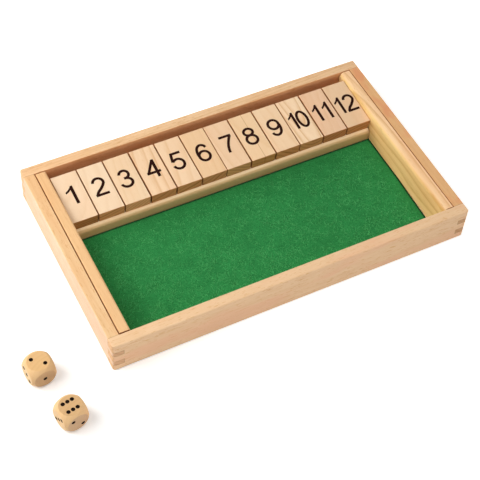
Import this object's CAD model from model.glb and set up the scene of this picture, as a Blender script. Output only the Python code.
import math
import random
import bmesh
import bpy
from mathutils import Euler, Matrix, Vector, noise


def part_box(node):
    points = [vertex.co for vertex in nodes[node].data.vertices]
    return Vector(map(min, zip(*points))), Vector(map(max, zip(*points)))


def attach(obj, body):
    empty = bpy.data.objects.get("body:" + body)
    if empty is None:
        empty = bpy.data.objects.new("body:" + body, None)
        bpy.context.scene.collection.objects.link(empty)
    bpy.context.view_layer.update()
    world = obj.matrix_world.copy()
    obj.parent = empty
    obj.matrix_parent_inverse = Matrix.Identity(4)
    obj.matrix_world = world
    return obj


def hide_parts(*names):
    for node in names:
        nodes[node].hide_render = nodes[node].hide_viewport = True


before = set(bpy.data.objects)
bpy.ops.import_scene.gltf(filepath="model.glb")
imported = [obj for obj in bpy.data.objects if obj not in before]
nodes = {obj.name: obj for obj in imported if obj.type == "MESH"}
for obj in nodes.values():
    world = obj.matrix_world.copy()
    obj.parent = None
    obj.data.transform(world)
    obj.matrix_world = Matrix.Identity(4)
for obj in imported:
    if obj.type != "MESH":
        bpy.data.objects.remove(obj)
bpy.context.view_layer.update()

mm = 0.001
metresToMm = (1000, 1000, 1000)
print("loaded", len(nodes), "solids")


def colour(code):  # sRGB hex to the linear values that a socket takes
    parts = [int(code[i : i + 2], 16) / 255 for i in (1, 3, 5)]
    return [c / 12.92 if c <= 0.04045 else ((c + 0.055) / 1.055) ** 2.4 for c in parts] + [1.0]


def addNode(tree, kind, sockets, **settings):  # each input gets a value, an output, or a node's own result
    node = tree.nodes.new("ShaderNode" + kind)
    for key, value in settings.items():
        setattr(node, key, value)
    for key, value in sockets.items():
        if isinstance(value, bpy.types.Node):
            value = next(output for output in value.outputs if output.enabled)
        if isinstance(value, bpy.types.NodeSocket):
            tree.links.new(value, node.inputs[key])
        else:
            node.inputs[key].default_value = value
    return node


def startMaterial(name):  # with an empty tree
    material = bpy.data.materials.new(name)
    material.use_nodes = True
    material.node_tree.nodes.clear()
    return material, material.node_tree


def setStops(ramp, stops):  # places and greys of a ramp
    band = ramp.color_ramp
    while len(band.elements) < len(stops):
        band.elements.new(0.5)
    for element, (place, grey) in zip(band.elements, stops):
        element.position = place
        element.color = (grey, grey, grey, 1)


def addMesh(name, points, faces):  # points in millimetres
    mesh = bpy.data.meshes.new(name)
    mesh.from_pydata([[c * mm for c in p] for p in points], [], faces)
    mesh.validate()
    mesh.update()
    thing = bpy.data.objects.new(name, mesh)
    bpy.context.scene.collection.objects.link(thing)
    return thing


def swapMaterial(thing, material):
    thing.data.materials.clear()
    thing.data.materials.append(material)


def finishPiece(piece, material, body):
    swapMaterial(piece, material)
    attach(piece, body)


photoCamera = {
    "azimuth": -30.62,  # degrees
    "elevation": 52.01,
    "roll": 4.79,
    "lens": 95.92,  # millimetres, on a sensor of this width
    "sensor": 36,
    "place": (-0.36989, -0.62489, 0.89257),  # metres
    "nearest": 0.01,
}


def placeCamera():
    azimuth, elevation, roll = (math.radians(photoCamera[k]) for k in ("azimuth", "elevation", "roll"))
    level = math.cos(elevation)
    back = Vector((math.sin(azimuth) * level, -math.cos(azimuth) * level, math.sin(elevation)))
    right = (-back).cross(Vector((0, 0, 1))).normalized()
    down = (-back).cross(right)
    rolledRight = right * math.cos(roll) - down * math.sin(roll)
    rolledDown = right * math.sin(roll) + down * math.cos(roll)
    lens = bpy.data.cameras.new("photo_camera")
    lens.lens = photoCamera["lens"]
    lens.sensor_width = photoCamera["sensor"]
    lens.clip_start = photoCamera["nearest"]
    camera = bpy.data.objects.new("photo_camera", lens)
    turn = Matrix((rolledRight, -rolledDown, back)).transposed().to_4x4()
    camera.matrix_world = Matrix.Translation(photoCamera["place"]) @ turn
    bpy.context.scene.collection.objects.link(camera)
    bpy.context.scene.camera = camera
    bpy.context.scene.view_settings.view_transform = "Standard"


placeCamera()

studio = {
    "softboxes": [  # name, place and size in metres, and watts
        ("left_softbox", (-0.66, 0.0, 0.80), 0.52, 5.2),
        ("rear_softbox", (-0.81, 0.46, 0.45), 0.52, 5.7),
        ("top_softbox", (0.22, -0.22, 1.18), 0.60, 4.5),
        ("front_strip", (0.0, -1.19, 0.19), 0.20, 2.9),
        ("right_strip", (1.19, 0.0, 0.19), 0.20, 3.6),
    ],
    "lampColour": (1.0, 0.985, 0.96),
    "aim": (0, 0, 0.02),  # where all the lamps point
    "sky": 0.18,  # light from all round
    "paperWhite": 0.90,
    "paperReach": 4000,  # millimetres
    "paperDrop": 0.2,  # millimetres below the tray's foot, so that the two never share a plane
    "paperFade": (0.40, 0.90),  # metres from the middle, over which the paper turns as white as the sky
    "paperLift": (0.22, 0.50),  # how much brighter the camera sees it, at the left and at the right
    "liftRun": (-0.19, 0.0),  # metres, where the left ends and the right starts
}


def hangSoftboxes():
    for name, place, size, watts in studio["softboxes"]:
        lamp = bpy.data.lights.new(name, "AREA")
        lamp.shape = "SQUARE"
        lamp.size = size
        lamp.energy = watts
        lamp.color = studio["lampColour"]
        box = bpy.data.objects.new(name, lamp)
        box.location = place
        box.rotation_euler = (Vector(studio["aim"]) - Vector(place)).to_track_quat("-Z", "Y").to_euler()
        bpy.context.scene.collection.objects.link(box)


def seenBackground(tree):  # 1 where the background is seen or mirrored, 0 where it only lights things
    path = addNode(tree, "LightPath", {}).outputs
    seen = 0.0
    for ray in ("Is Camera Ray", "Is Glossy Ray", "Is Transmission Ray"):
        seen = addNode(tree, "Math", {0: seen, 1: path[ray]}, operation="MAXIMUM")
    return seen


def lightSky():
    world = bpy.data.worlds.new("white_studio")
    bpy.context.scene.world = world
    world.use_nodes = True
    tree = world.node_tree
    tree.nodes.clear()
    sockets = {"Value": seenBackground(tree), "To Min": studio["sky"], "To Max": 1.0}
    strength = addNode(tree, "MapRange", sockets)
    sky = addNode(tree, "Background", {"Color": (1, 1, 1, 1), "Strength": strength})
    addNode(tree, "OutputWorld", {"Surface": sky})


def layPaper():
    paper, tree = startMaterial("white_paper")
    place = addNode(tree, "TexCoord", {}).outputs["Object"]
    across = addNode(tree, "SeparateXYZ", {0: place}).outputs["X"]
    (left, right), (least, most) = studio["liftRun"], studio["paperLift"]
    sockets = {"Value": across, "From Min": left, "From Max": right, "To Min": least, "To Max": most}
    lift = addNode(tree, "MapRange", sockets, interpolation_type="SMOOTHSTEP")
    distance = addNode(tree, "VectorMath", {0: place}, operation="LENGTH")
    start, end = studio["paperFade"]
    sockets = {"Value": distance, "From Min": start, "From Max": end}
    far = addNode(tree, "MapRange", sockets, interpolation_type="SMOOTHSTEP")
    lift = addNode(tree, "Math", {0: lift, 1: far}, operation="MAXIMUM")
    lift = addNode(tree, "Math", {0: seenBackground(tree), 1: lift}, operation="MULTIPLY")
    matt = addNode(tree, "BsdfDiffuse", {"Color": (*[studio["paperWhite"]] * 3, 1)})
    glow = addNode(tree, "Emission", {"Strength": lift})
    addNode(tree, "OutputMaterial", {"Surface": addNode(tree, "AddShader", {0: matt, 1: glow})})
    reach, height = studio["paperReach"], -studio["paperDrop"]
    corners = [(x * reach, y * reach, height) for x, y in ((-1, -1), (1, -1), (1, 1), (-1, 1))]
    floor = addMesh("floor", corners, [(0, 1, 2, 3)])
    swapMaterial(floor, paper)


hangSoftboxes()
lightSky()
layPaper()
print("camera and studio ready")

# Which way the grain runs: the turn that brings it to Z, and the axis to test for end grain
grainTurns = {"x": (0, -math.pi / 2, 0), "y": (math.pi / 2, 0, 0), "z": (0, 0, 0)}
grainAxes = {"x": (1, 0, 0), "y": (0, 1, 0), "z": (0, 0, 1)}

cornerJoint = {  # the tray's finger joints, all in millimetres
    "x": 160,  # inner faces of the end boards and of the long boards
    "y": 93,
    "levels": (7, 12.5, 20, 25),  # heights of the fingers' edges
    "fingers": ((9.75, 2.75), (22.5, 2.5)),  # middle and half of the height of each finger
    "line": 0.28,  # half as wide as a glue line shows
    "slack": 0.2,
    "glue": "#7A4A22",
    "share": 0.35,
}


def nearPlaces(tree, value, places):  # 1 where the value is within reach of one of the places
    mask = 0.0
    for place, reach in places:
        near = addNode(tree, "Math", {0: value, 1: place, 2: reach}, operation="COMPARE")
        mask = addNode(tree, "Math", {0: mask, 1: near}, operation="MAXIMUM")
    return mask


def cornerLines(tree, place):  # thin brown glue lines between the fingers; a mask from 0 to 1
    axes = addNode(tree, "SeparateXYZ", {0: place}).outputs
    line = cornerJoint["line"]
    inCorner, seam = {}, {}
    for axis in ("x", "y"):
        inner = cornerJoint[axis]
        start = inner - cornerJoint["slack"]
        aside = addNode(tree, "Math", {0: axes[axis.upper()]}, operation="ABSOLUTE")
        inCorner[axis] = addNode(tree, "Math", {0: aside, 1: start}, operation="GREATER_THAN")
        seam[axis] = nearPlaces(tree, aside, [(inner, line)])
    finger = nearPlaces(tree, axes["Z"], cornerJoint["fingers"])
    notFinger = addNode(tree, "Math", {0: 1.0, 1: finger}, operation="SUBTRACT")
    level = nearPlaces(tree, axes["Z"], [(z, line) for z in cornerJoint["levels"]])
    lines = 0.0
    for first, second, third in (
        (seam["x"], inCorner["y"], finger),
        (seam["y"], inCorner["x"], notFinger),
        (level, inCorner["x"], inCorner["y"]),
    ):
        both = addNode(tree, "Math", {0: first, 1: second}, operation="MULTIPLY")
        both = addNode(tree, "Math", {0: both, 1: third}, operation="MULTIPLY")
        lines = addNode(tree, "Math", {0: lines, 1: both}, operation="MAXIMUM")
    return lines


# Sanded softwood under a thin satin lacquer: rings show as soft bands, with fine fibres along them
woodLook = {
    "timber": "pine",
    "grain": "x",
    "pith": (28.0, -70.0),  # the tree's centre, from the middle of the board's end, in millimetres
    "lean": (1.2, 0.8),  # degrees between the board and the tree
    "ring": 3.4,  # a year's growth in millimetres
    "wander": 2.6,  # how far the rings stray
    "wanderParts": (4, 0.22),  # of the slow bend and of the ripple, as shares of that
    "spells": 0.45,  # per year: alike years come in runs of about two
    "years": (0.35, 1.15),  # darkness of the rings of a poor year and of a good one
    "pale": "#E9C79C",
    "late": "#D3A36D",
    "blush": "#E2A873",
    "blushShare": 0.25,
    "blushEdge": (0.46, 0.66),  # from none of the blush to its full share
    "patch": (38, 95),  # size of the blushed patches, across and along the grain
    "base": 0.22,  # from pale, 0, to late, 1, before the patterns
    "rings": 0.42,  # strength of each pattern
    "fibres": 0.34,
    "streaks": 0.45,
    "mottle": 0.30,
    "flecks": 0.30,
    "fleckEdge": (0.62, 0.70),  # only the peaks of the noise are flecks
    "tint": (1.0, 1.0, 1.0),  # each board's own cast
    "cuts": [],  # directions that faces look in, each with the cast of that face
    "cutEdge": (0.55, 0.85),  # how squarely a face looks there before the cast starts, and is full
    "end": "#CDA27A",
    "endLate": "#AE7C50",
    "endBase": 0.12,
    "endRings": 0.75,
    "endEdge": (0.45, 0.9),  # how squarely a face cuts the grain before it starts to look sawn, and does
    "roughness": (0.48, 0.62),
    "endRoughness": 0.16,  # what the open pores of a sawn end add
    "bump": 0.35,
    "relief": 0.06,  # height of the bump in millimetres
    "specular": 0.15,
    "seed": 0.0,
    "corners": False,
    "glue": None,  # how far from the tile's middle two strips are glued side by side, in millimetres
    "glueEdge": (0.12, 0.4),  # half of the line's width, dark and with its soft edges
    "glueCast": (0.68, 0.60, 0.52),
}
woodPatterns = {  # size across and along the grain in millimetres, detail and roughness
    "bend": (34, 150, 1.5, 0.5),
    "ripple": (7, 38, 1.0, 0.5),
    "fibres": (0.55, 26, 3.0, 0.6),
    "streaks": (5.5, 230, 2.0, 0.5),
    "mottle": (7.0, 19, 3.0, 0.6),
    "flecks": (0.7, 6.5, 1.0, 0.5),
}
seasons = [(0.0, 0.5), (0.09, 0.06), (0.5, 0.10), (0.80, 0.55), (0.95, 1.0), (1.0, 0.5)]  # darkness in a year


def grainNoise(tree, place, across, along, detail, roughness):
    stretched = addNode(tree, "Mapping", {"Vector": place, "Scale": (1 / across, 1 / across, 1 / along)})
    sockets = {"Vector": stretched, "Scale": 1.0, "Detail": detail, "Roughness": roughness}
    return addNode(tree, "TexNoise", sockets)


def growthRings(tree, wood, inTree, inBoard):  # 1 in the dark late wood, 0 in the pale early wood
    bendReach, rippleReach = (part * wood["wander"] for part in wood["wanderParts"])
    bend = grainNoise(tree, inBoard, *woodPatterns["bend"]).outputs["Color"]
    bend = addNode(tree, "VectorMath", {0: bend, 1: (0.5, 0.5, 0.5)}, operation="SUBTRACT")
    bend = addNode(tree, "VectorMath", {0: bend, "Scale": bendReach}, operation="SCALE")
    ripple = grainNoise(tree, inBoard, *woodPatterns["ripple"]).outputs["Color"]
    ripple = addNode(tree, "VectorMath", {0: ripple, "Scale": rippleReach}, operation="SCALE")
    place = addNode(tree, "VectorMath", {0: inTree, 1: bend}, operation="ADD")
    place = addNode(tree, "VectorMath", {0: place, 1: ripple}, operation="ADD")
    fromPith = addNode(tree, "VectorMath", {0: place, 1: (1, 1, 0)}, operation="MULTIPLY")
    fromPith = addNode(tree, "VectorMath", {0: fromPith}, operation="LENGTH")
    age = addNode(tree, "Math", {0: fromPith, 1: wood["ring"]}, operation="DIVIDE")
    season = addNode(tree, "ValToRGB", {"Fac": addNode(tree, "Math", {0: age}, operation="FRACT")})
    setStops(season, seasons)
    spells = {"W": age, "Scale": wood["spells"], "Detail": 1.0}
    spells = addNode(tree, "TexNoise", spells, noise_dimensions="1D")
    poor, good = wood["years"]
    sockets = {"Value": spells, "From Min": 0.3, "From Max": 0.7, "To Min": poor, "To Max": good}
    return addNode(tree, "Math", {0: season, 1: addNode(tree, "MapRange", sockets)}, operation="MULTIPLY")


def castFaces(tree, wood, normal, finish):  # the board's own cast, then that of each face
    starts, full = wood["cutEdge"]
    casts = [(1.0, wood["tint"])]
    for direction, cast in wood["cuts"]:
        toward = addNode(tree, "VectorMath", {0: normal, 1: direction}, operation="DOT_PRODUCT")
        sockets = {"Value": toward, "From Min": starts, "From Max": full}
        casts.append((addNode(tree, "MapRange", sockets, interpolation_type="SMOOTHSTEP"), cast))
    for share, cast in casts:
        sockets = {0: share, 6: finish, 7: (*cast, 1)}
        finish = addNode(tree, "Mix", sockets, data_type="RGBA", blend_type="MULTIPLY")
    return finish


def sideGrain(tree, wood, inBoard, rings, fibres):  # colour of the planed faces, and the tone behind it
    low, high = wood["fleckEdge"]
    sockets = {"Value": grainNoise(tree, inBoard, *woodPatterns["flecks"]), "From Min": low, "From Max": high}
    flecks = addNode(tree, "MapRange", sockets, interpolation_type="SMOOTHSTEP")
    layers = [  # each with the value that leaves the tone as it is
        ("fibres", fibres, 0.5),
        ("streaks", grainNoise(tree, inBoard, *woodPatterns["streaks"]), 0.5),
        ("mottle", grainNoise(tree, inBoard, *woodPatterns["mottle"]), 0.5),
        ("flecks", flecks, 0.0),
    ]
    tone = addNode(tree, "Math", {0: rings, 1: wood["rings"]}, operation="MULTIPLY")
    for share, pattern, middle in layers:
        change = addNode(tree, "Math", {0: pattern, 1: middle}, operation="SUBTRACT")
        tone = addNode(tree, "Math", {0: change, 1: wood[share], 2: tone}, operation="MULTIPLY_ADD")
    tone = addNode(tree, "Math", {0: tone, 1: wood["base"]}, operation="ADD", use_clamp=True)
    side = addNode(tree, "Mix", {0: tone, 6: colour(wood["pale"]), 7: colour(wood["late"])}, data_type="RGBA")
    drift = grainNoise(tree, inBoard, *wood["patch"], 2.0, 0.5)
    low, high = wood["blushEdge"]
    sockets = {"Value": drift, "From Min": low, "From Max": high, "To Max": wood["blushShare"]}
    blush = addNode(tree, "MapRange", sockets, interpolation_type="SMOOTHSTEP")
    side = addNode(tree, "Mix", {0: blush, 6: side, 7: colour(wood["blush"])}, data_type="RGBA")
    return side, tone


def sawnEnd(tree, wood, normal, rings):  # colour of the ends, which soak up the lacquer, and where they are
    sockets = {0: rings, 1: wood["endRings"], 2: wood["endBase"]}
    tone = addNode(tree, "Math", sockets, operation="MULTIPLY_ADD", use_clamp=True)
    end = addNode(tree, "Mix", {0: tone, 6: colour(wood["end"]), 7: colour(wood["endLate"])}, data_type="RGBA")
    facing = {0: normal, 1: grainAxes[wood["grain"]]}
    facing = addNode(tree, "VectorMath", facing, operation="DOT_PRODUCT")
    facing = addNode(tree, "Math", {0: facing}, operation="ABSOLUTE")
    low, high = wood["endEdge"]
    sockets = {"Value": facing, "From Min": low, "From Max": high}
    return end, addNode(tree, "MapRange", sockets, interpolation_type="SMOOTHSTEP")


def glueLines(tree, wood, inMm, fromCentre, finish):  # at the finger joints, and in a tile of two strips
    if wood["corners"]:
        lines = {0: cornerLines(tree, inMm), 1: cornerJoint["share"]}
        lines = addNode(tree, "Math", lines, operation="MULTIPLY")
        finish = addNode(tree, "Mix", {0: lines, 6: finish, 7: colour(cornerJoint["glue"])}, data_type="RGBA")
    if wood["glue"] is not None:
        across = addNode(tree, "SeparateXYZ", {0: fromCentre}).outputs["X"]
        across = addNode(tree, "Math", {0: across, 1: wood["glue"]}, operation="SUBTRACT")
        across = addNode(tree, "Math", {0: across}, operation="ABSOLUTE")
        dark, plain = wood["glueEdge"]
        line = {"Value": across, "From Min": dark, "From Max": plain, "To Min": 1.0, "To Max": 0.0}
        sockets = {0: addNode(tree, "MapRange", line), 6: finish, 7: (*wood["glueCast"], 1)}
        finish = addNode(tree, "Mix", sockets, data_type="RGBA", blend_type="MULTIPLY")
    return finish


def woodMaterial(name, look, centre):
    wood = {**woodLook, **look}
    material, tree = startMaterial(name + "_" + wood["timber"])
    coords = addNode(tree, "TexCoord", {}).outputs
    inMm = addNode(tree, "Mapping", {"Vector": coords["Object"], "Scale": metresToMm})
    fromCentre = addNode(tree, "VectorMath", {0: inMm, 1: [c / mm for c in centre]}, operation="SUBTRACT")
    alongGrain = addNode(tree, "Mapping", {"Vector": fromCentre, "Rotation": grainTurns[wood["grain"]]})
    lean = [math.radians(angle) for angle in wood["lean"]]
    sockets = {"Vector": alongGrain, "Rotation": (*lean, 0), "Location": (*[-p for p in wood["pith"]], 0)}
    inTree = addNode(tree, "Mapping", sockets)
    farOff = [wood["seed"] * step for step in (61.0, 37.0, 211.0)]  # so that no two boards share a figure
    inBoard = addNode(tree, "Mapping", {"Vector": alongGrain, "Location": farOff})

    rings = growthRings(tree, wood, inTree, inBoard)
    fibres = grainNoise(tree, inBoard, *woodPatterns["fibres"])
    side, tone = sideGrain(tree, wood, inBoard, rings, fibres)
    end, atEnd = sawnEnd(tree, wood, coords["Normal"], rings)
    finish = addNode(tree, "Mix", {0: atEnd, 6: side, 7: end}, data_type="RGBA")
    finish = castFaces(tree, wood, coords["Normal"], finish)
    finish = glueLines(tree, wood, inMm, fromCentre, finish)

    smooth, rough = wood["roughness"]
    roughness = addNode(tree, "MapRange", {"Value": fibres, "To Min": smooth, "To Max": rough})
    sockets = {0: atEnd, 1: wood["endRoughness"], 2: roughness}
    roughness = addNode(tree, "Math", sockets, operation="MULTIPLY_ADD")
    height = addNode(tree, "Math", {0: tone, 1: -1.0, 2: fibres}, operation="MULTIPLY_ADD")
    relief = {"Height": height, "Strength": wood["bump"], "Distance": wood["relief"] * mm}
    sockets = {
        "Base Color": finish,
        "Roughness": roughness,
        "Specular IOR Level": wood["specular"],
        "Normal": addNode(tree, "Bump", relief),
    }
    addNode(tree, "OutputMaterial", {"Surface": addNode(tree, "BsdfPrincipled", sockets)})
    return material


def dress(name, look):  # a CAD solid keeps its shape and gets its own piece of wood
    low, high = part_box(name)
    swapMaterial(nodes[name], woodMaterial(name, look, (low + high) / 2))


longEnd = {"end": "#DDB48A", "endLate": "#C9986A"}  # the long boards' ends are paler than the fingers
rawSide = (0.62, 0.37, 0.23)  # faces in the narrow gaps were never sanded, and glue has darkened them
toLeft, toRight, toFront, toTop = (-1, 0, 0), (1, 0, 0), (0, -1, 0), (0, 0, 1)
boards = {
    "front_wall": {
        "seed": 1.3,
        "pith": (30, -60),
        "corners": True,
        "rings": 0.16,
        "streaks": 0.40,
        "mottle": 0.55,
        "flecks": 0.95,
        "blush": "#E6B18A",
        "blushShare": 0.5,
        "patch": (24, 60),
        "cuts": [(toFront, (1.03, 1.04, 1.13)), (toTop, (0.99, 0.99, 1.06))],
        **longEnd,
    },
    "back_wall": {
        "seed": 2.9,
        "pith": (-20, -38),
        "lean": (2.0, 0.6),
        "corners": True,
        "pale": "#ECC9A0",
        "late": "#C4925E",
        "rings": 0.34,
        "wander": 4.0,
        "mottle": 0.50,
        "flecks": 0.45,
        "cuts": [(toFront, (1.03, 0.80, 0.66))],
        **longEnd,
    },
    "left_wall": {
        "grain": "y",
        "seed": 4.1,
        "pith": (45, -62),
        "corners": True,
        "pale": "#EDCFA4",
        "rings": 0.25,
        "mottle": 0.40,
        "flecks": 0.50,
        "end": "#DCAE88",
        "endLate": "#BA8860",
        "cuts": [(toLeft, (0.93, 0.94, 1.14)), (toTop, (0.93, 0.86, 0.80)), (toRight, rawSide)],
    },
    "right_wall": {
        "grain": "y",
        "seed": 5.7,
        "pith": (22, -34),
        "corners": True,
        "pale": "#E6BE88",
        "blush": "#E09E70",
        "patch": (13, 26),
        "mottle": 0.60,
        "flecks": 0.50,
        "blushShare": 0.8,
        "cuts": [(toTop, (0.95, 0.88, 0.88)), (toLeft, rawSide)],
    },
    "divider_rail": {
        "seed": 6.4,
        "pith": (15, -45),
        "pale": "#E3BF8C",
        "tint": (1.05, 1.05, 1.10),
        "cuts": [(toTop, (1.30, 1.50, 1.85)), (toLeft, rawSide), (toRight, rawSide)],
    },
    "left_cheek": {
        "grain": "y",
        "seed": 7.2,
        "pith": (40, -50),
        "pale": "#EBC591",
        "rings": 0.2,
        "cuts": [(toLeft, rawSide), (toFront, rawSide), (toTop, (0.96, 0.93, 0.95))],
    },
    "right_cheek": {
        "grain": "y",
        "seed": 8.8,
        "pith": (-26, -16),
        "lean": (3.0, 3.0),
        "ring": 6.5,
        "wander": 5.0,
        "rings": 0.75,
        "pale": "#F4D2A4",
        "late": "#CDA068",
        "cuts": [
            (toLeft, (1.13, 1.04, 0.84)),
            ((-0.71, 0, 0.71), (0.89, 0.96, 0.94)),
            (toTop, (1.15, 1.06, 1.12)),
            (toRight, rawSide),
            (toFront, rawSide),
        ],
    },
}
for name, look in boards.items():
    dress(name, look)

tileLooks = {
    1: {"tint": (0.97, 0.98, 1.08)},
    2: {"tint": (0.97, 1.00, 1.11)},
    3: {"tint": (0.95, 0.96, 1.01)},
    4: {"tint": (1.01, 1.00, 1.05), "rings": 0.75, "late": "#CFA06E", "pith": (-16, -30)},
    5: {"tint": (0.98, 0.96, 1.01), "rings": 0.6},
    6: {"tint": (0.94, 0.87, 0.83)},
    7: {"tint": (0.95, 0.90, 0.93)},
    8: {"tint": (0.97, 0.93, 0.91), "glue": 1.3},
    9: {"tint": (0.99, 0.97, 1.00)},
    10: {
        "tint": (1.08, 1.11, 1.20),
        "rings": 0.72,
        "late": "#CCA06E",
        "pith": (3, -14),
        "lean": (1.4, 2.6),
        "ring": 4.4,
    },
    11: {"tint": (0.95, 0.86, 0.89)},
    12: {"tint": (0.95, 0.90, 0.91)},
}
tileFronts = {  # casts of the front ends that stand out from their neighbours
    1: (0.79, 0.75, 0.64),
    2: (1.20, 1.16, 1.18),
    3: (1.33, 1.41, 1.75),
    4: (1.31, 1.24, 1.27),
    6: (1.28, 1.38, 1.60),
    7: (1.21, 1.44, 1.58),
    8: (0.81, 0.87, 0.80),
}
draw = random.Random(12)
for n in tileLooks:
    tileWood = {
        "grain": "y",
        "seed": 10.0 + 1.7 * n,
        "pith": (draw.uniform(-45, 45), -draw.uniform(35, 80)),
        "lean": (draw.uniform(-2, 2), draw.uniform(-2, 2)),
        "ring": draw.uniform(3.2, 5.4),
        "rings": 0.28,
        "streaks": 0.32,
        "fibres": 0.26,
        "flecks": 0.12,
        "pale": "#EED2AC",
        "late": "#DDB585",
        "blush": "#EABF94",
        "end": "#D89760",
        "endLate": "#9A6030",
        "cuts": [
            (toLeft, rawSide),
            (toRight, rawSide),
            (toFront, [draw.uniform(0.8, 1.15)] * 3),
            (toFront, tileFronts.get(n, (1, 1, 1))),
        ],
    }
    dress("tile_%02d" % n, {**tileWood, **tileLooks[n]})

dieWood = {
    "timber": "beech",
    "grain": "z",
    "pith": (14, -30),
    "pale": "#E2BC8D",
    "late": "#D4A873",
    "end": "#DEB887",
    "endLate": "#D6AE7A",
    "rings": 0.12,
    "cutEdge": (0.80, 0.95),
}
dieLooks = {
    "die_1": {
        "seed": 3.3,
        "cuts": [(toTop, (0.95, 0.91, 0.84)), (toLeft, (0.97, 1.04, 1.10)), (toFront, (0.92, 0.90, 0.92))],
    },
    "die_2": {
        "seed": 9.1,
        "cuts": [(toTop, (0.83, 0.80, 0.78)), (toLeft, (0.97, 1.00, 1.04)), (toFront, (0.80, 0.79, 0.88))],
    },
}
for name, look in dieLooks.items():
    dress(name, {**dieWood, **look})

bottomWood = {
    "timber": "plywood",
    "seed": 11.0,
    "pith": (0, -400),
    "pale": "#F7E8C6",
    "late": "#E6CC9E",
    "blushShare": 0.1,
    "rings": 0.2,
}
dress("base_panel", bottomWood)
print("wood ready")


def buildRodSteel():  # drawn steel wire: bright, with fine scratches along it
    material, tree = startMaterial("drawn_steel")
    coords = addNode(tree, "TexCoord", {})
    scratch = (60, 9000, 9000)  # per metre: a scratch is 17 mm long and a ninth of a millimetre wide
    along = addNode(tree, "Mapping", {"Vector": coords.outputs["Object"], "Scale": scratch})
    scratches = addNode(tree, "TexNoise", {"Vector": along, "Scale": 1.0, "Detail": 3.0})
    roughness = addNode(tree, "MapRange", {"Value": scratches, "To Min": 0.22, "To Max": 0.42})
    sockets = {"Base Color": colour("#C4C6C8"), "Metallic": 1.0, "Roughness": roughness}
    addNode(tree, "OutputMaterial", {"Surface": addNode(tree, "BsdfPrincipled", sockets)})
    return material


swapMaterial(nodes["pivot_rod"], buildRodSteel())

numerals = {
    "stroke": 2.6,  # all in millimetres
    "stem": 2.8,
    "slant": 2.5,
    "height": 19.7,
    "thick": 0.12,
    "proud": 0.035,
    "step": (0.004, 0.007),  # between strokes, at the top and bottom, so that no two share a plane
    "sharpest": 0.35,  # of a corner's half angle, the sine below which it is cut off
}


def arc(centreX, centreY, radiusX, radiusY, start, end, steps=28):
    turns = [math.radians(start + (end - start) * i / steps) for i in range(steps + 1)]
    return [(centreX + radiusX * math.cos(t), centreY + radiusY * math.sin(t)) for t in turns]


def ring(centreX, centreY, radiusX, radiusY, steps=56):
    return arc(centreX, centreY, radiusX, radiusY, 0, 360 - 360 / steps, steps - 1)


def sweep(points, steps=6):  # a smooth line through the points
    first = [2 * a - b for a, b in zip(points[0], points[1])]
    last = [2 * a - b for a, b in zip(points[-1], points[-2])]
    stretches = [first, *points, last]
    line = []
    for a, b, c, d in zip(stretches, stretches[1:], stretches[2:], stretches[3:]):
        for k in range(steps):
            t = k / steps
            terms = [
                2 * b[j]
                + (c[j] - a[j]) * t
                + (2 * a[j] - 5 * b[j] + 4 * c[j] - d[j]) * t * t
                + (3 * b[j] - 3 * c[j] + d[j] - a[j]) * t**3
                for j in (0, 1)
            ]
            line.append(tuple(0.5 * term for term in terms))
    return line + [tuple(points[-1])]


thin, stem, slant = (numerals[k] for k in ("stroke", "stem", "slant"))
oneInPair = [(-3.3, 14.4), (-1.1, 16.1), (0.5, 18.1), (1.4, 19.9), (3.25, 19.9)]
oneInPair += [(3.25, 0), (0.6, 0), (0.6, 15.5), (-0.9, 13.9), (-3.3, 12.3)]
oneAlone = [(-4.1, 14.6), (-1.3, 16.2), (0.9, 18.1), (2.1, 19.9), (4.0, 19.9)]
oneAlone += [(4.0, 0), (1.15, 0), (1.15, 15.7), (-1.0, 14.0), (-4.1, 12.5)]
twoNeck = [(3.5, 10.3), (0.6, 7.3), (-2.9, 4.4), (-5.1, 1.2)]
sixHook = [(4.75, 14.9), (3.75, 17.2), (1.0, 18.65), (-1.7, 17.9)]
sixHook += [(-3.8, 15.4), (-4.85, 11.6), (-5.0, 8.4), (-4.55, 5.2)]
sevenLeg = [(5.0, 17.9), (3.1, 15.2), (1.2, 11.9), (-0.6, 8.1), (-1.9, 4.0), (-2.5, 0)]
sixStrokes = [("line", thin, sweep(sixHook)), ("loop", thin, ring(0.2, 6.3, 5.05, 5.25))]
# Middle lines of the strokes, up from the foot of each figure; a one is a filled outline
figures = {
    "0": [("loop", thin, ring(0, 9.85, 4.95, 8.85, 64))],
    "1": [("fill", 0, oneInPair)],
    "single 1": [("fill", 0, oneAlone)],
    "2": [
        ("line", thin, arc(0.35, 14.0, 4.75, 4.65, 172, -22) + sweep(twoNeck)),
        ("line", thin, [(-6.4, 1.02), (6.2, 1.02)]),
    ],
    "3": [
        ("line", thin, arc(0.4, 14.45, 4.3, 4.15, 172, -88) + [(-1.0, 10.25)]),
        ("line", thin, [(-1.0, 10.25)] + arc(0, 5.65, 5.2, 4.65, 85, -172)),
    ],
    "4": [
        ("line", stem, [(3.1, 0), (3.1, 19.7)]),
        ("line", thin, [(-6.6, 5.7), (6.6, 5.7)]),
        ("line", slant, [(-5.6, 5.3), (3.1, 18.8)]),
    ],
    "5": [
        ("line", thin, [(5.8, 18.5), (-3.0, 18.5), (-4.75, 9.6)]),
        ("line", thin, [(-4.6, 10.0)] + arc(-0.1, 6.5, 5.2, 5.35, 132, -168)),
    ],
    "6": sixStrokes,
    "7": [
        ("line", thin, [(-6.0, 18.4), (6.1, 18.4)]),
        ("line", thin, sweep(sevenLeg)),
    ],
    "8": [
        ("loop", thin, ring(0, 14.85, 4.4, 3.85, 48)),
        ("loop", thin, ring(0, 5.95, 5.15, 5.0)),
    ],
    "9": [(kind, width, [(-x, numerals["height"] - y) for x, y in line]) for kind, width, line in sixStrokes],
}

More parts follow.
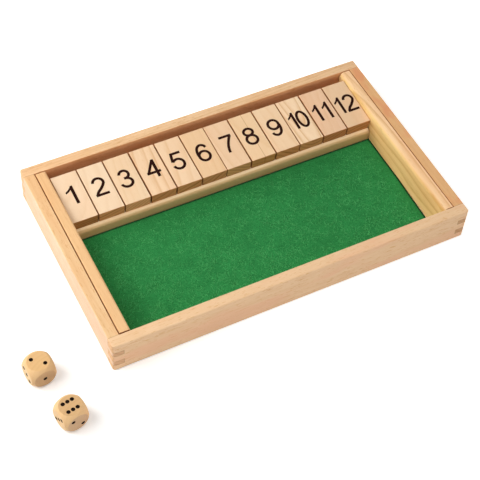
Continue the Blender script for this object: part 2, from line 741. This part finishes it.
# Each tile's figures: place across the tray, stretch across, and distance of the foot from the tile's back edge
printed = {
    1: [("single 1", -137.95, 1.0, 34.1)],
    2: [("2", -112.1, 1.0, 34.4)],
    3: [("3", -87.8, 1.0, 35.4)],
    4: [("4", -61.3, 1.0, 34.8)],
    5: [("5", -36.8, 1.0, 35.4)],
    6: [("6", -11.7, 1.0, 36.0)],
    7: [("7", 14.1, 1.0, 35.5)],
    8: [("8", 36.75, 1.0, 35.6)],
    9: [("9", 62.45, 1.0, 35.2)],
    10: [("1", 81.3, 1.0, 35.4), ("0", 90.9, 0.91, 35.9)],
    11: [("1", 106.65, 1.0, 35.6), ("1", 117.0, 1.0, 35.6)],
    12: [("1", 130.6, 1.0, 35.6), ("2", 141.65, 0.93, 35.6)],
}

# A tile lies with its foot on the divider and its face leaning back: millimetres and degrees
tileSeat = {"foot": (33.8, 15.7), "tilt": 5.1, "length": 52.0, "thick": 11.0}


def onTile(x, up, height):  # up runs from the tile's front edge to its back edge
    rise, run = math.sin(math.radians(tileSeat["tilt"])), math.cos(math.radians(tileSeat["tilt"]))
    y, z = tileSeat["foot"]
    return (x, y + up * run - height * rise, z + up * rise + height * run)


def strokeSides(points, width, closed):  # the two edges of a stroke, with its corners kept sharp
    count = len(points)
    left, right = [], []
    for i, point in enumerate(points):
        before = points[i - 1] if closed or i > 0 else None
        after = points[(i + 1) % count] if closed or i < count - 1 else None
        into = Vector(point) - Vector(before) if before else Vector(after) - Vector(point)
        outOf = Vector(after) - Vector(point) if after else into.copy()
        into.normalize()
        outOf.normalize()
        side = Vector((-into.y - outOf.y, into.x + outOf.x)).normalized()
        reach = width / 2 / max(numerals["sharpest"], side.dot(Vector((-into.y, into.x))))
        left.append(Vector(point) + side * reach)
        right.append(Vector(point) - side * reach)
    return left, right


def strokeSlab(kind, width, points, order):  # one closed slab, with heights above the tile's underside
    topStep, bottomStep = numerals["step"]
    top = tileSeat["thick"] + numerals["proud"] + topStep * order
    levels = (top - numerals["thick"] - bottomStep * order, top)
    count = len(points)
    if kind == "fill":
        verts = [(x, y, z) for z in levels for x, y in points]
        faces = [list(range(count)), list(range(2 * count - 1, count - 1, -1))]
        faces += [(i, i + count, (i + 1) % count + count, (i + 1) % count) for i in range(count)]
        return verts, faces
    closed = kind == "loop"
    verts = [(p.x, p.y, z) for z in levels for row in strokeSides(points, width, closed) for p in row]
    faces = []
    for i in range(count if closed else count - 1):
        j = (i + 1) % count
        faces.append((i, count + i, count + j, j))
        faces.append((2 * count + i, 2 * count + j, 3 * count + j, 3 * count + i))
        faces.append((i, j, 2 * count + j, 2 * count + i))
        faces.append((count + i, 3 * count + i, 3 * count + j, count + j))
    if not closed:
        faces += [(i, count + i, 3 * count + i, 2 * count + i) for i in (0, count - 1)]
    return verts, faces


def buildPrintInk():  # screen-printed black ink: matt, a little brown, thin enough to break up over the grain
    material, tree = startMaterial("printed_ink")
    coords = addNode(tree, "TexCoord", {})
    speck = (2600, 380, 2600)  # per metre: a speck is 0.4 mm across the grain and 2.6 mm along it
    fine = addNode(tree, "Mapping", {"Vector": coords.outputs["Object"], "Scale": speck})
    speckle = addNode(tree, "TexNoise", {"Vector": fine, "Scale": 1.0, "Detail": 2.0})
    worn = addNode(tree, "MapRange", {"Value": speckle, "From Min": 0.62, "From Max": 0.78, "To Max": 0.5})
    ink = addNode(tree, "Mix", {0: worn, 6: colour("#28110C"), 7: colour("#452B20")}, data_type="RGBA")
    roughness = addNode(tree, "MapRange", {"Value": speckle, "To Min": 0.55, "To Max": 0.75})
    sockets = {"Base Color": ink, "Roughness": roughness, "Specular IOR Level": 0.05}
    addNode(tree, "OutputMaterial", {"Surface": addNode(tree, "BsdfPrincipled", sockets)})
    return material


def turnFacesOut(thing):
    work = bmesh.new()
    work.from_mesh(thing.data)
    bmesh.ops.recalc_face_normals(work, faces=work.faces)
    work.to_mesh(thing.data)
    work.free()


def printNumber(n, ink):
    slabs = []
    for figure, across, stretch, foot in printed[n]:
        for kind, width, points in figures[figure]:
            stretched = [(x * stretch, y) for x, y in points]
            flat, faces = strokeSlab(kind, width, stretched, len(slabs))
            seated = [onTile(across + x, tileSeat["length"] - foot + y, z) for x, y, z in flat]
            slabs.append(addMesh("slab", seated, faces))
            turnFacesOut(slabs[-1])
    number = slabs[0]
    for slab in slabs[1:]:
        merge = number.modifiers.new("merge", "BOOLEAN")
        merge.operation = "UNION"
        merge.solver = "EXACT"
        merge.object = slab
    merged = bpy.data.meshes.new_from_object(number.evaluated_get(bpy.context.evaluated_depsgraph_get()))
    number.modifiers.clear()
    number.data = merged
    for slab in slabs[1:]:
        bpy.data.objects.remove(slab)
    number.name = "tile_%02d_number" % n
    finishPiece(number, ink, "tile_%02d" % n)


printInk = buildPrintInk()
for n in printed:
    printNumber(n, printInk)
print("numbers printed")

feltLook = {
    "x": 149.4,  # all sizes in millimetres
    "y": (-92.8, 30.4),
    "z": (3.0, 4.0),
    "cell": 1.3,  # grid of the pressed surface
    "sunk": 0.06,  # middle of the surface, below the top of the sheet
    "rough": 0.16,
    "lump": 9,
    "grit": 1.7,
    "roughParts": (0.45, 0.55),  # of the lumps and of the grit
    "frontRightTrim": 1.7,  # the cut runs off square towards the front
    "trimStart": -20,
    "green": "#2C8A48",
    "dark": "#175F2D",
    "light": "#4FB464",
    "hair": "#64C077",
    "glued": "#0B3A1A",  # the cut edge, pressed into the glue
    "gluedRim": (1.0, 2.1),
    "cloud": 14,
    "fuzz": 1.1,
    "mottleParts": (0.45, 0.8),  # of the clouds and of the fuzz
    "mottle": (0.38, 0.86),  # sum of the two at which the felt is darkest, and brightest
    "curl": (0.006, 0.022),  # half the width of a curled hair, from its middle to its soft edge, in noise
    "curlShare": 0.35,
    "speck": 0.9,
    "speckEdge": (0.59, 0.65),  # only the peaks of the noise are specks
    "speckShare": 0.9,
    "sheen": "#7CC08A",
}
feltNap = {
    "hairs": 4000,
    "length": (2.2, 5.5),
    "width": 0.25,  # drawn thicker than the real hairs so that it shows
    "tips": 0.35,  # width of the tips, as a share of the middle's
    "segments": 4,
    "bend": 0.8,  # radians at each joint, at most
    "lift": (0.03, 0.22),  # of the ends and of the middle
    "cluster": 11,  # size of the thicker patches
    "scatter": 0.7,  # how loosely the hairs keep to them
    "margin": {"left": 4, "right": 5, "front": 3, "rear": 3},
    "bareRim": (3, 16),  # at the right and rear, where the brush never reached
}


def feltRight(y):  # where the right edge of the cut runs
    start = feltLook["trimStart"]
    share = max(0.0, (start - y) / (start - feltLook["y"][0]))
    return feltLook["x"] - feltLook["frontRightTrim"] * share


def feltHeight(x, y):
    lump, grit = feltLook["lump"], feltLook["grit"]
    low = noise.noise(Vector((x / lump, y / lump, 0.3)))
    fine = noise.noise(Vector((x / grit, y / grit, 7.1)))
    lumpPart, gritPart = feltLook["roughParts"]
    return feltLook["z"][1] - feltLook["sunk"] + feltLook["rough"] * (lumpPart * low + gritPart * fine)


def feltGluedRim(tree, place):  # 1 at the left, right and rear edges, 0 inside them
    axes = addNode(tree, "SeparateXYZ", {0: place}).outputs
    (front, rear), half = feltLook["y"], feltLook["x"]
    run = {"From Min": front, "From Max": feltLook["trimStart"], "To Min": feltRight(front), "To Max": half}
    sideEdge = addNode(tree, "MapRange", {"Value": axes["Y"], **run})
    aside = addNode(tree, "Math", {0: axes["X"]}, operation="ABSOLUTE")
    aside = addNode(tree, "Math", {0: sideEdge, 1: aside}, operation="SUBTRACT")
    behind = addNode(tree, "Math", {0: rear, 1: axes["Y"]}, operation="SUBTRACT")
    inside = addNode(tree, "Math", {0: aside, 1: behind}, operation="MINIMUM")
    dark, plain = feltLook["gluedRim"]
    sockets = {"Value": inside, "From Min": dark, "From Max": plain, "To Min": 1.0, "To Max": 0.0}
    return addNode(tree, "MapRange", sockets)


def buildFeltGreen(name, deep, bright):  # pressed wool felt: matt, mottled, no weave
    material, tree = startMaterial(name)
    coords = addNode(tree, "TexCoord", {})
    inMm = addNode(tree, "Mapping", {"Vector": coords.outputs["Object"], "Scale": metresToMm})
    cloud = addNode(tree, "TexNoise", {"Vector": inMm, "Scale": 1 / feltLook["cloud"], "Detail": 3.0})
    fuzz = {"Vector": inMm, "Scale": 1 / feltLook["fuzz"], "Detail": 3.0, "Roughness": 0.65, "Distortion": 1.2}
    fuzz = addNode(tree, "TexNoise", fuzz)
    cloudPart, fuzzPart = feltLook["mottleParts"]
    mottle = addNode(tree, "Math", {0: cloud, 1: cloudPart}, operation="MULTIPLY")
    mottle = addNode(tree, "Math", {0: fuzz, 1: fuzzPart, 2: mottle}, operation="MULTIPLY_ADD")
    darkest, brightest = feltLook["mottle"]
    share = addNode(tree, "MapRange", {"Value": mottle, "From Min": darkest, "From Max": brightest})
    finish = addNode(tree, "Mix", {0: share, 6: colour(deep), 7: colour(bright)}, data_type="RGBA")
    hairScale = (0.42, 1.1, 1)  # per millimetre: a curl is 2.4 mm long and 0.9 mm wide
    (core, edge), most = feltLook["curl"], feltLook["curlShare"]
    for turn, offset in ((0.4, 0.0), (1.5, 31.0), (2.5, 67.0)):  # three layers of short curled hairs
        layer = {"Vector": inMm, "Rotation": (0, 0, turn), "Location": (offset, offset, 0), "Scale": hairScale}
        layer = addNode(tree, "Mapping", layer)
        curl = addNode(tree, "TexNoise", {"Vector": layer, "Scale": 1.0, "Detail": 1.5, "Distortion": 1.6})
        crest = addNode(tree, "Math", {0: curl, 1: 0.5}, operation="SUBTRACT")
        crest = addNode(tree, "Math", {0: crest}, operation="ABSOLUTE")
        sockets = {"Value": crest, "From Min": core, "From Max": edge, "To Min": most, "To Max": 0.0}
        sockets = {0: addNode(tree, "MapRange", sockets), 6: finish, 7: colour(feltLook["light"])}
        finish = addNode(tree, "Mix", sockets, data_type="RGBA")
    specks = addNode(tree, "TexNoise", {"Vector": inMm, "Scale": 1 / feltLook["speck"], "Detail": 1.0})
    low, high = feltLook["speckEdge"]
    sockets = {"Value": specks, "From Min": low, "From Max": high, "To Max": feltLook["speckShare"]}
    specks = addNode(tree, "MapRange", sockets)
    finish = addNode(tree, "Mix", {0: specks, 6: finish, 7: colour(feltLook["dark"])}, data_type="RGBA")
    sockets = {0: feltGluedRim(tree, inMm), 6: finish, 7: colour(feltLook["glued"])}
    finish = addNode(tree, "Mix", sockets, data_type="RGBA")
    sockets = {
        "Base Color": finish,
        "Roughness": 0.95,
        "Specular IOR Level": 0.08,
        "Sheen Weight": 0.12,
        "Sheen Roughness": 0.6,
        "Sheen Tint": colour(feltLook["sheen"]),
        "Normal": addNode(tree, "Bump", {"Height": fuzz, "Strength": 0.6, "Distance": 0.3 * mm}),
    }
    addNode(tree, "OutputMaterial", {"Surface": addNode(tree, "BsdfPrincipled", sockets)})
    return material


def layFelt():
    (front, rear), half = feltLook["y"], feltLook["x"]
    columns = round(2 * half / feltLook["cell"])
    rows = round((rear - front) / feltLook["cell"])
    wide = columns + 1  # points in a row
    verts = []
    for j in range(rows + 1):
        y = front + (rear - front) * j / rows
        for i in range(wide):
            x = -half + (feltRight(y) + half) * i / columns
            verts.append((x, y, feltHeight(x, y)))
    faces = []
    for j in range(rows):
        for a in range(j * wide, j * wide + columns):
            faces.append((a, a + 1, a + wide + 1, a + wide))
    rim = list(range(wide))
    rim += [j * wide + columns for j in range(1, rows + 1)]
    rim += [rows * wide + i for i in range(columns - 1, -1, -1)]
    rim += [j * wide for j in range(rows - 1, 0, -1)]
    start = len(verts)
    verts += [(verts[i][0], verts[i][1], feltLook["z"][0]) for i in rim]
    for k, i in enumerate(rim):
        following = (k + 1) % len(rim)
        faces.append((i, start + k, start + following, rim[following]))
    faces.append([start + k for k in range(len(rim) - 1, -1, -1)])
    felt = addMesh("felt_lining", verts, faces)
    finishPiece(felt, buildFeltGreen("pressed_felt", feltLook["dark"], feltLook["green"]), "tray")
    felt.data.shade_smooth()
    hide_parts("felt_sheet")
    return felt


def combNap():  # loose hairs that stand out of the felt, each a thin three-sided tube
    draw = random.Random(41)
    verts, faces = [], []
    (front, rear), half = feltLook["y"], feltLook["x"]
    segments, cluster, scatter = (feltNap[k] for k in ("segments", "cluster", "scatter"))
    low, high = feltNap["lift"]
    margin, tips = feltNap["margin"], feltNap["tips"]
    placed = 0
    while placed < feltNap["hairs"]:
        x = draw.uniform(-half + margin["left"], half - margin["right"])
        y = draw.uniform(front + margin["front"], rear - margin["rear"])
        fromEdge = min(rear - y, feltRight(y) - x)
        thick = noise.noise(Vector((x / cluster, y / cluster, 3.7))) + draw.uniform(-scatter, scatter)
        if thick < 0 or fromEdge < draw.uniform(*feltNap["bareRim"]):
            continue
        heading = draw.uniform(0, math.tau)
        bend = draw.uniform(-feltNap["bend"], feltNap["bend"])
        length = draw.uniform(*feltNap["length"])
        start = len(verts)
        for k in range(segments + 1):
            taper = feltNap["width"] / 2 * (tips + (1 - tips) * math.sin(math.pi * (0.1 + 0.8 * k / segments)))
            z = feltHeight(x, y) + (low + high * math.sin(math.pi * k / segments))
            side = Vector((math.cos(heading + math.pi / 2), math.sin(heading + math.pi / 2), 0))
            middle = Vector((x, y, z))
            verts += [middle + taper * side, middle - taper * side, middle + Vector((0, 0, taper))]
            x += length / segments * math.cos(heading)
            y += length / segments * math.sin(heading)
            heading += bend
        for a in range(start, start + 3 * segments, 3):
            faces += [(a, a + 1, a + 4, a + 3), (a + 1, a + 2, a + 5, a + 4), (a + 2, a, a + 3, a + 5)]
        end = start + 3 * segments
        faces += [(start, start + 2, start + 1), (end, end + 1, end + 2)]
        placed += 1
    nap = addMesh("felt_nap", verts, faces)
    finishPiece(nap, buildFeltGreen("felt_hairs", feltLook["light"], feltLook["hair"]), "tray")
    return nap


felt = layFelt()
nap = combNap()
print("felt laid")

die = {
    "width": 22.0,  # all sizes in millimetres
    "pip": 3.5,
    "depth": 0.8,
    "step": 4.2,  # from the middle of a face to the next pip
    "paint": 0.12,
    "sunk": 0.02,  # of the film's underside in the wood
    "edge": 0.03,  # of the film below the face
    "steps": 28,
    "rings": 5,
}
pipBall = ((die["pip"] / 2) ** 2 + die["depth"] ** 2) / (2 * die["depth"])  # radius of the hollows' cutter
fourPips = [(-1, 1), (1, -1), (-1, -1), (1, 1)]
pipPlaces = {
    1: [(0, 0)],
    2: fourPips[:2],
    3: [(-1, 1), (0, 0), (1, -1)],
    4: fourPips,
    5: fourPips + [(0, 0)],
    6: [(-1, 1), (0, 1), (1, 1), (-1, -1), (0, -1), (1, -1)],
}
faceTurns = {  # that bring each face up, in degrees
    2: (0, 0, 0),
    5: (180, 0, 0),
    1: (90, 0, 0),
    6: (-90, 0, 0),
    4: (0, 90, 0),
    3: (-90, 0, 90),
}
diePlaces = {  # middle on the table, and turns in degrees
    "die_1": ((-225.5, -82.0), (0, 0, 6)),
    "die_2": ((-217.8, -130.4), (90, 0, 10)),
}


def turned(degrees):
    return Euler([math.radians(d) for d in degrees]).to_matrix()


def pipFilm(across, along):  # paint in one hollow of a face that looks up, closed all round
    steps, rings = die["steps"], die["rings"]
    centre = Vector((across * die["step"], along * die["step"], die["width"] / 2 + pipBall - die["depth"]))
    widest = math.acos((pipBall - die["depth"] + die["edge"]) / pipBall)
    verts, faces = [], []
    for radius, outer in ((pipBall - die["paint"], False), (pipBall + die["sunk"], True)):
        start = len(verts)
        verts.append(centre - Vector((0, 0, radius)))
        for ringNumber in range(1, rings + 1):
            tilt = widest * ringNumber / rings
            for k in range(steps):
                spin = math.tau * k / steps
                offset = (math.sin(tilt) * math.cos(spin), math.sin(tilt) * math.sin(spin), -math.cos(tilt))
                verts.append(centre + radius * Vector(offset))
        for k in range(steps):
            following = (k + 1) % steps
            sheet = [(start, start + 1 + k, start + 1 + following)]
            for ringStart in range(start + 1, start + 1 + (rings - 1) * steps, steps):
                a, b = ringStart + k, ringStart + following
                sheet.append((a, a + steps, b + steps, b))
            faces += [face[::-1] if outer else face for face in sheet]
    rim, shell = 1 + (rings - 1) * steps, 1 + rings * steps
    for k in range(steps):
        a, b = rim + k, rim + (k + 1) % steps
        faces.append((a, shell + a, shell + b, b))
    return verts, faces


def buildPipPaint():  # black paint dabbed into the hollows: matt, uneven
    material, tree = startMaterial("pip_paint")
    coords = addNode(tree, "TexCoord", {})
    dab = (1500, 1500, 1500)  # per metre: a dab is 0.7 mm wide
    fine = addNode(tree, "Mapping", {"Vector": coords.outputs["Object"], "Scale": dab})
    uneven = addNode(tree, "TexNoise", {"Vector": fine, "Scale": 1.0, "Detail": 2.0})
    black = addNode(tree, "Mix", {0: uneven, 6: colour("#0F0703"), 7: colour("#1F120A")}, data_type="RGBA")
    roughness = addNode(tree, "MapRange", {"Value": uneven, "To Min": 0.55, "To Max": 0.75})
    sockets = {"Base Color": black, "Roughness": roughness, "Specular IOR Level": 0.05}
    addNode(tree, "OutputMaterial", {"Surface": addNode(tree, "BsdfPrincipled", sockets)})
    return material


def paintPips(name, paint):
    place, stand = diePlaces[name]
    middle = Vector((*place, die["width"] / 2))
    verts, faces = [], []
    for count, turns in faceTurns.items():
        turn = turned(stand) @ turned(turns)
        for across, along in pipPlaces[count]:
            film, filmFaces = pipFilm(across, along)
            faces += [[len(verts) + i for i in face] for face in filmFaces]
            verts += [middle + turn @ point for point in film]
    pips = addMesh(name + "_pips", verts, faces)
    finishPiece(pips, paint, name)
    pips.data.shade_smooth()


pipPaint = buildPipPaint()
for name in diePlaces:
    paintPips(name, pipPaint)
print("dice painted")
